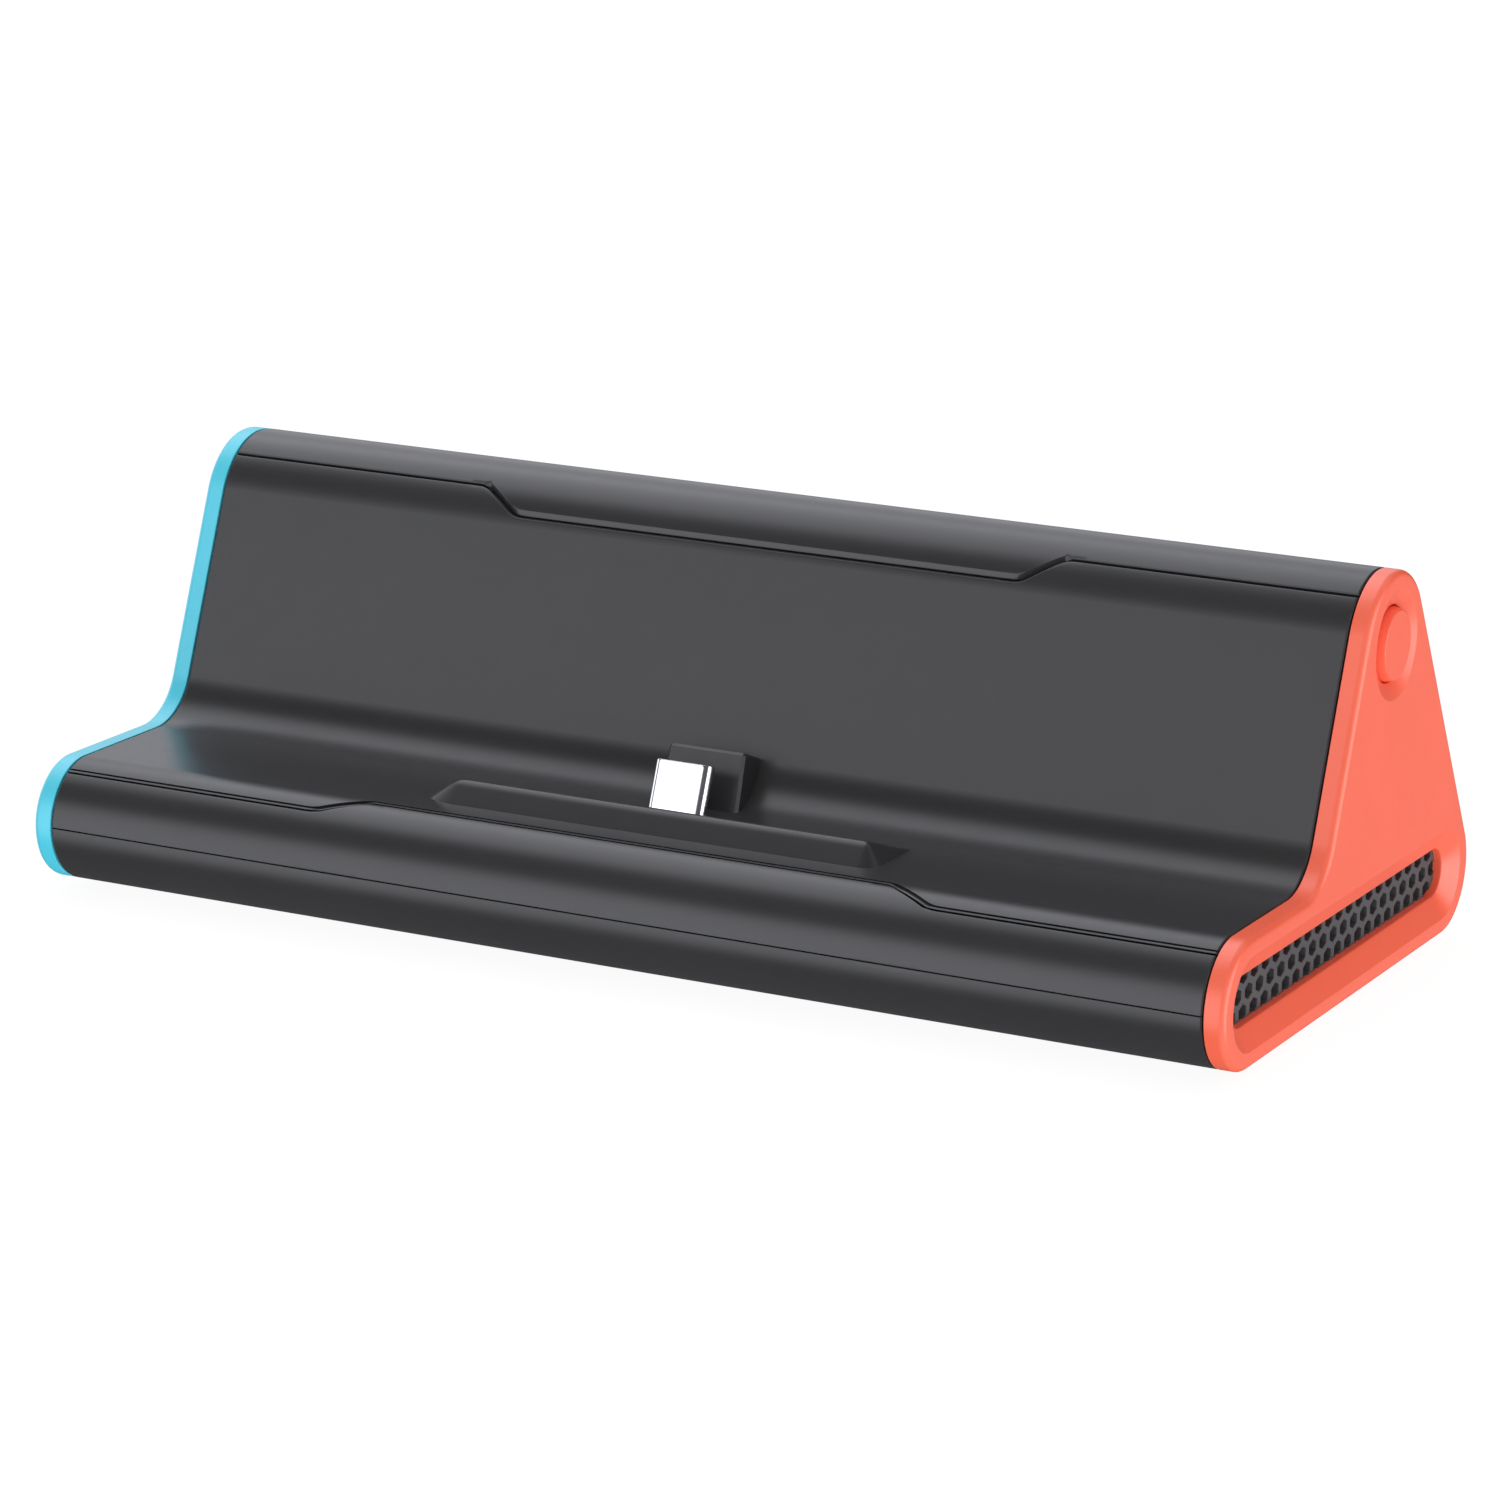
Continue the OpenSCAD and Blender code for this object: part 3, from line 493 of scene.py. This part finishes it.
# Rings of the cap's outside as (inset, x), then of the vent and the button's seat as (radius, x)
CAP_LEVELS = [(0.15, CAP_IN), (0.04, CAP_IN + 0.04), (0, CAP_IN + 0.15), (0, CAP_OUT - 1.0)] + [
    (1 - math.cos(t), CAP_OUT - 1 + math.sin(t)) for t in (TURN / 2 * i / 6 for i in range(1, 7))]
VENT_LEVELS = [(6.62, CAP_OUT), (6.53, CAP_OUT - 0.03), (6.44, CAP_OUT - 0.11),
               (3.66, CAP_OUT - 1.6), (3.55, CAP_OUT - 1.7), (3.5, CAP_OUT - 1.82),
               (3.5, CAP_IN)]
DISH_LEVELS = [(7.82, CAP_OUT), (7.72, CAP_OUT - 0.02), (7.6, CAP_OUT - 0.09),
               (5.56, CAP_OUT - 0.98), (5.46, CAP_OUT - 1.06), (5.42, CAP_OUT - 1.18),
               (5.42, CAP_IN)]


def side_ring(points, x, mirror):
    """Side-view points as a ring at x, or at -x for the left end."""
    return [place(-x if mirror else x, y, z) for y, z in points]


def end_cap(name, mirror, with_button):
    bm = bmesh.new()
    path = walk(0, S_END)[:-1]
    outer = tube(bm, [side_ring([on(s, i) for s in path], x, mirror) for i, x in CAP_LEVELS],
                 closed_ends=False)
    holes = [tube(bm, [side_ring(pill(VENT_MID, VENT_Z, VENT_HALF, r, 20), x, mirror)
                       for r, x in VENT_LEVELS], closed_ends=False)]
    if with_button:
        holes.append(tube(bm, [side_ring(circle(BUTTON_Y, BUTTON_Z, r, 56), x, mirror)
                               for r, x in DISH_LEVELS], closed_ends=False))
    fill(bm, [outer[-1]] + [h[0] for h in holes])
    fill(bm, [outer[0]] + [h[-1] for h in holes])
    return smooth_piece(name, bm, sharp=35)


def button_piece():
    """The button, turned about its own axis: stem, flange, tapered side and flat face."""
    face = CAP_OUT + 0.2
    levels = [(1.5, 84.5), (1.5, CAP_IN - 1.0), (6.0, CAP_IN - 1.0), (6.0, CAP_IN - 0.12),
              (5.2, CAP_IN - 0.1), (5.2, face - 1.3), (4.88, face - 0.16), (4.84, face - 0.07),
              (4.77, face - 0.02), (4.68, face)]
    bm = bmesh.new()
    tube(bm, [side_ring(circle(BUTTON_Y, BUTTON_Z, r, 56), x, False) for r, x in levels])
    return smooth_piece("mode_button_cap", bm)


def hexagon(y, z, grow):
    w, h = HOLE_W + grow, HOLE_H + grow
    return [(y, z - h), (y + w, z - h / 2), (y + w, z + h / 2),
            (y, z + h), (y - w, z + h / 2), (y - w, z - h / 2)]


def grille_piece(name, mirror):
    front, back, pitch, row_gap = MESH_X - 0.02, MESH_X - 0.02 - MESH_T, 3.76, 2.54
    columns = int((VENT_Y1 - VENT_Y0 + 7) // pitch)
    bm = bmesh.new()
    outer = tube(bm, [side_ring(pill(VENT_MID, VENT_Z, VENT_HALF, MESH_R, 14), x, mirror)
                      for x in (front, back)], closed_ends=False)
    holes = []
    for row in (-1, 0, 1):
        for i in range(columns + 1):
            y = VENT_MID + (i - columns / 2) * pitch + (pitch / 2 if row else 0)
            if abs(y - VENT_MID) < VENT_HALF + 3 - abs(row):
                holes.append(tube(bm, [
                    side_ring(hexagon(y, VENT_Z + row * row_gap, g), x, mirror)
                    for g, x in ((0.05, front), (0.0, front - 0.07), (0.0, back))],
                    closed_ends=False))
    fill(bm, [outer[0]] + [h[0] for h in holes])
    fill(bm, [outer[-1]] + [h[-1] for h in holes])
    return smooth_piece(name, bm, sharp=30)


def foot_piece(name, x, y):
    levels = [(-0.55, -1.0), (-0.3, -1.0), (-0.09, -0.92), (0, -0.72), (0, 0.5)]
    bm = bmesh.new()
    tube(bm, [[place(px, py, z) for px, py in pill(x, y, 2.0, 4.0 + grow, 12)]
              for grow, z in levels])
    return smooth_piece(name, bm, sharp=50)


# ---- materials ----

def new_material(name):
    m = bpy.data.materials.new(name)
    m.use_nodes = True
    nt = m.node_tree
    return m, nt, nt.nodes["Principled BSDF"]


def link(nt, a, out, b, into):
    nt.links.new(a.outputs[out], b.inputs[into])


def noise(nt, scale, detail=2.0, rough=0.5, stretch=None):
    coord = nt.nodes.new("ShaderNodeTexCoord")
    tex = nt.nodes.new("ShaderNodeTexNoise")
    tex.inputs["Scale"].default_value = scale
    tex.inputs["Detail"].default_value = detail
    tex.inputs["Roughness"].default_value = rough
    if stretch:
        mapping = nt.nodes.new("ShaderNodeMapping")
        mapping.inputs["Scale"].default_value = stretch
        link(nt, coord, "Object", mapping, "Vector")
        link(nt, mapping, "Vector", tex, "Vector")
    else:
        link(nt, coord, "Object", tex, "Vector")
    return tex


NOISE_LOW, NOISE_HIGH = 0.35, 0.65  # the part of a noise's range that is used


def steps(nt, tex, low, high):
    """Maps a noise to values between low and high."""
    node = nt.nodes.new("ShaderNodeMapRange")
    for key, value in (("From Min", NOISE_LOW), ("From Max", NOISE_HIGH),
                       ("To Min", low), ("To Max", high)):
        node.inputs[key].default_value = value
    link(nt, tex, "Fac", node, "Value")
    return node


def tint(nt, tex, c0, c1):
    """Blends two near colours over a noise."""
    ramp_node = nt.nodes.new("ShaderNodeValToRGB")
    els = ramp_node.color_ramp.elements
    els[0].position, els[1].position = NOISE_LOW, NOISE_HIGH
    els[0].color, els[1].color = (*c0, 1), (*c1, 1)
    link(nt, tex, "Fac", ramp_node, "Fac")
    return ramp_node


def finish_material(name, colour, rough, grain=4200.0, bump=0.05, metallic=0.0, vary=0.05,
                    spec=0.5, rough_vary=0.012, stretch=None, coat=0.0, patch=60.0):
    """Moulded or metal finish: fine grain in the bump, soft drifts in colour and gloss."""
    m, nt, bsdf = new_material(name)
    c0 = tuple(max(0.0, c * (1 - vary)) for c in colour)
    c1 = tuple(min(1.0, c * (1 + vary)) for c in colour)
    link(nt, tint(nt, noise(nt, patch, 3.0), c0, c1), "Color", bsdf, "Base Color")
    link(nt, steps(nt, noise(nt, 420.0, 4.0, 0.6), rough - rough_vary, rough + rough_vary),
         "Result", bsdf, "Roughness")
    node = nt.nodes.new("ShaderNodeBump")
    node.inputs["Strength"].default_value = bump
    node.inputs["Distance"].default_value = 0.0001
    link(nt, noise(nt, grain, 3.0, 0.55, stretch), "Fac", node, "Height")
    link(nt, node, "Normal", bsdf, "Normal")
    bsdf.inputs["Metallic"].default_value = metallic
    bsdf.inputs["Specular IOR Level"].default_value = spec
    if coat:
        bsdf.inputs["Coat Weight"].default_value = coat
        bsdf.inputs["Coat Roughness"].default_value = 0.2
    return m


FINISHES = {
    "shell_black": dict(colour=(0.035, 0.035, 0.037), rough=0.29, bump=0.03, vary=0.02),
    "panel_black": dict(colour=(0.035, 0.035, 0.037), rough=0.30, bump=0.03, vary=0.02),
    "cap_cyan": dict(colour=(0.075, 0.64, 0.83), rough=0.34, spec=0.8, bump=0.03, vary=0.02),
    "cap_coral": dict(colour=(0.98, 0.142, 0.07), rough=0.34, spec=0.8, bump=0.03, vary=0.02),
    "grille_grey": dict(colour=(0.07, 0.07, 0.073), rough=0.5, bump=0.08, vary=0.06),
    "foot_rubber": dict(colour=(0.022, 0.022, 0.023), rough=0.75, bump=0.3, grain=2600.0),
    "plug_metal": dict(colour=(0.92, 0.92, 0.93), rough=0.13, metallic=1.0, bump=0.03,
                       stretch=(1.0, 1.0, 0.08), vary=0.02),
    "insulator_black": dict(colour=(0.02, 0.02, 0.021), rough=0.4, bump=0.1),
    "contact_gold": dict(colour=(0.92, 0.66, 0.26), rough=0.2, metallic=1.0, bump=0.04),
    "sheet_steel": dict(colour=(0.78, 0.79, 0.81), rough=0.3, metallic=1.0, bump=0.03,
                        stretch=(0.05, 1.0, 1.0), vary=0.02),
    "screw_steel": dict(colour=(0.5, 0.5, 0.52), rough=0.3, metallic=1.0, bump=0.15),
    "board_green": dict(colour=(0.02, 0.12, 0.05), rough=0.35, bump=0.15, grain=1500.0, coat=0.4),
    "flex_amber": dict(colour=(0.42, 0.15, 0.03), rough=0.3, bump=0.1, coat=0.3),
    "chip_black": dict(colour=(0.03, 0.03, 0.032), rough=0.55, bump=0.25, grain=3000.0),
    "thermal_pad": dict(colour=(0.36, 0.38, 0.55), rough=0.7, bump=0.3, grain=1800.0),
    "heatsink_aluminium": dict(colour=(0.74, 0.75, 0.77), rough=0.35, metallic=1.0, bump=0.12,
                               stretch=(1.0, 0.05, 1.0)),
    "socket_cream": dict(colour=(0.72, 0.68, 0.55), rough=0.45, bump=0.1),
    "ballast_steel": dict(colour=(0.42, 0.42, 0.44), rough=0.45, metallic=1.0, bump=0.3,
                          grain=1200.0),
}
MATERIALS = {slot: finish_material(slot, **kw) for slot, kw in FINISHES.items()}
NODE_FINISH = {
    "plug_insulator": "insulator_black", "plug_contacts": "contact_gold",
    "plug_base": "insulator_black", "plug_bracket": "sheet_steel",
    "plug_bracket_screws": "screw_steel", "plug_board": "board_green",
    "plug_flex": "flex_amber", "main_board": "board_green", "hub_chip": "chip_black",
    "thermal_pad": "thermal_pad", "heatsink": "heatsink_aluminium",
    "power_chip": "chip_black", "inductors": "chip_black",
    "capacitors": "heatsink_aluminium", "crystal": "sheet_steel",
    "flex_sockets": "socket_cream", "video_port": "sheet_steel", "power_port": "sheet_steel",
    "data_port_left": "sheet_steel", "data_port_right": "sheet_steel",
    "port_tongues": "insulator_black", "port_panel": "shell_black",
    "button_board": "board_green", "tact_switch": "insulator_black",
    "switch_plunger": "socket_cream", "button_flex": "flex_amber",
    "left_ballast": "ballast_steel", "right_ballast": "ballast_steel",
    "ballast_screws": "screw_steel", "board_screws": "screw_steel",
    "case_screws": "screw_steel",
}


def dress(obj, slot_name, body="housing", *nodes):
    """Gives a new piece its finish and its body, and hides the CAD nodes that it stands for."""
    obj.data.materials.clear()
    obj.data.materials.append(MATERIALS[slot_name])
    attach(obj, body)
    if nodes:
        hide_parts(*nodes)
    return obj


# ---- the pieces ----

NEAR_BAY = (BAY_X - 0.15, BAY_X, BAY_X + 0.03, BAY_X + 0.1, BAY_X + 0.2, BAY_X + 0.32)
NEAR_LABEL = (LABEL_X - 0.1, LABEL_X, LABEL_X + 0.06, LABEL_X + 0.2)
NEAR_BEVEL = spread(TOP_X[1] - 0.6, TOP_X[1] + 0.7, 8)

dress(loft("upper_shell_skin", stations(*NEAR_BAY, *NEAR_BEVEL), shell_section, sharp=33),
      "shell_black", "housing", "upper_shell")
dress(loft("base_shell_skin", stations(*NEAR_LABEL), base_section, sharp=40),
      "shell_black", "housing", "base_shell")
dress(loft("cradle_panel_skin", stations(), panel_section, sharp=33),
      "panel_black", "housing", "cradle_panel")
dress(console_rest(), "panel_black")
dress(plug_block(), "panel_black")
dress(plug_skin(), "plug_metal", "housing", "plug_shell")
dress(end_cap("left_end_cap", True, False), "cap_cyan", "housing", "left_cap")
dress(end_cap("right_end_cap", False, True), "cap_coral", "housing", "right_cap")
dress(grille_piece("left_vent_grille", True), "grille_grey", "housing", "left_grille")
dress(grille_piece("right_vent_grille", False), "grille_grey", "housing", "right_grille")
dress(button_piece(), "cap_coral", "button", "mode_button")
FOOT_X = {"left": -82.5, "right": 82.5}
FOOT_Y = {"front": 16.0, "rear": 74.0}
for side, x in FOOT_X.items():
    for end, y in FOOT_Y.items():
        dress(foot_piece(f"foot_pad_{end}_{side}", x, y), "foot_rubber", "housing",
              f"foot_{end}_{side}")

for name, finish in NODE_FINISH.items():
    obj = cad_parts[name]
    obj.data.materials.clear()
    obj.data.materials.append(MATERIALS[finish])

# ---- stage, light and camera ----

FLOOR_HALF, FLOOR_Z = 6.0, -0.00005
bm = bmesh.new()
bm.faces.new([bm.verts.new((x * FLOOR_HALF, y * FLOOR_HALF, FLOOR_Z))
              for x, y in ((-1, -1), (1, -1), (1, 1), (-1, 1))])
mesh = bpy.data.meshes.new("floor")
bm.to_mesh(mesh)
bm.free()
floor = bpy.data.objects.new("floor", mesh)
bpy.context.scene.collection.objects.link(floor)
floor_mat, _, bsdf = new_material("floor_pale")
bsdf.inputs["Base Color"].default_value = (0.09, 0.09, 0.09, 1)
bsdf.inputs["Roughness"].default_value = 0.9
bsdf.inputs["Specular IOR Level"].default_value = 0.0
bsdf.inputs["Emission Color"].default_value = (1, 1, 1, 1)
bsdf.inputs["Emission Strength"].default_value = 0.94
floor.data.materials.append(floor_mat)
floor.visible_glossy = False
floor.visible_diffuse = False
floor.visible_shadow = False

world = bpy.data.worlds.new("studio")
bpy.context.scene.world = world
world.use_nodes = True
world.cycles.sampling_method = "NONE"
nt = world.node_tree
nt.nodes.clear()


def add(a, b):
    n = nt.nodes.new("ShaderNodeMath")
    n.operation = "ADD"
    nt.links.new(a, n.inputs[0])
    nt.links.new(b, n.inputs[1])
    return n.outputs[0]


direction = nt.nodes.new("ShaderNodeTexCoord").outputs["Generated"]


def lobe(axis, inner, outer, level):
    """Radiance of a round softbox: full inside inner degrees of axis, none outside outer."""
    dot = nt.nodes.new("ShaderNodeVectorMath")
    dot.operation = "DOT_PRODUCT"
    nt.links.new(direction, dot.inputs[0])
    dot.inputs[1].default_value = Vector(axis).normalized()
    fade = nt.nodes.new("ShaderNodeMapRange")
    fade.interpolation_type = "SMOOTHSTEP"
    nt.links.new(dot.outputs["Value"], fade.inputs["Value"])
    fade.inputs["From Min"].default_value = math.cos(math.radians(outer))
    fade.inputs["From Max"].default_value = math.cos(math.radians(inner))
    fade.inputs["To Max"].default_value = level
    return fade.outputs["Result"]


def lobes(specs):
    total = lobe(*specs[0])
    for spec in specs[1:]:
        total = add(total, lobe(*spec))
    return total


# each one: where it stands, its inner and outer half-angle in degrees, and its level
SOFTBOXES = [
    ((-0.439, -0.87, -0.02), 14, 39, 2.75),
    ((-0.439, 0.27, 0.856), 8, 34, 2.45),
    ((-0.439, 0.787, 0.432), 10, 32, 1.25),
    ((0.99, 0.12, 0.03), 20, 38, 4.0),
    ((0.5, -0.8, 0.3), 25, 50, 0.12),
    ((-0.95, 0.2, 0.0), 22, 38, 1.8),
    ((0.44, 0.86, -0.3), 12, 27, 0.45),
    ((-0.3, 0.3, -0.9), 30, 60, 0.12),
    ((0.35, 0.5, 0.79), 6, 24, 0.8),
]
SOFT_FILL = [
    ((0.15, -0.98, -0.05), 20, 75, 0.9),
    ((0.70, -0.05, -0.71), 20, 66, 2.1),
    ((-0.3, 0.4, 0.87), 20, 75, 1.0),
]
mirror_light = lobes(SOFTBOXES)
height = nt.nodes.new("ShaderNodeSeparateXYZ")
nt.links.new(direction, height.inputs[0])
sky = nt.nodes.new("ShaderNodeMapRange")
nt.links.new(height.outputs["Z"], sky.inputs["Value"])
sky.inputs["From Min"].default_value = -0.8
sky.inputs["From Max"].default_value = 0.9
sky.inputs["To Min"].default_value = 0.15
sky.inputs["To Max"].default_value = 0.62
fill_light = add(sky.outputs["Result"], lobes(SOFT_FILL))
ray = nt.nodes.new("ShaderNodeLightPath")
pick = nt.nodes.new("ShaderNodeMix")
pick.data_type = "FLOAT"
nt.links.new(ray.outputs["Is Glossy Ray"], pick.inputs[0])
nt.links.new(fill_light, pick.inputs[2])
nt.links.new(mirror_light, pick.inputs[3])
seen = nt.nodes.new("ShaderNodeMix")
seen.data_type = "FLOAT"
nt.links.new(ray.outputs["Is Camera Ray"], seen.inputs[0])
nt.links.new(pick.outputs[0], seen.inputs[2])
seen.inputs[3].default_value = 1.0
background = nt.nodes.new("ShaderNodeBackground")
nt.links.new(seen.outputs[0], background.inputs["Strength"])
# the background's own default grey of 0.8 for fill light, a slightly cool one for reflections
light_colour = nt.nodes.new("ShaderNodeMix")
light_colour.data_type = "RGBA"
nt.links.new(ray.outputs["Is Glossy Ray"], light_colour.inputs[0])
light_colour.inputs[6].default_value = (0.8, 0.8, 0.8, 1)
light_colour.inputs[7].default_value = (0.776, 0.784, 0.845, 1)
nt.links.new(light_colour.outputs[2], background.inputs["Color"])
out = nt.nodes.new("ShaderNodeOutputWorld")
nt.links.new(background.outputs[0], out.inputs[0])

# the camera looks at the front from the right and a little above, rolled by about 1 degree
cam_data = bpy.data.cameras.new("camera")
cam_data.lens = 135.17
cam_data.sensor_width = 36.0
cam_data.clip_start, cam_data.clip_end = 0.05, 30.0
camera = bpy.data.objects.new("camera", cam_data)
right = Vector((0.88869, 0.45820, 0.01681))
back = Vector((0.43935, -0.86148, 0.25460)).normalized()
up = back.cross(right).normalized()
right = up.cross(back)
camera.matrix_world = Matrix.Translation((0.3517, -0.6898, 0.2275)) @ Matrix(
    (right, up, back)).transposed().to_4x4()
bpy.context.scene.collection.objects.link(camera)
bpy.context.scene.camera = camera
bpy.context.scene.view_settings.view_transform = "Standard"
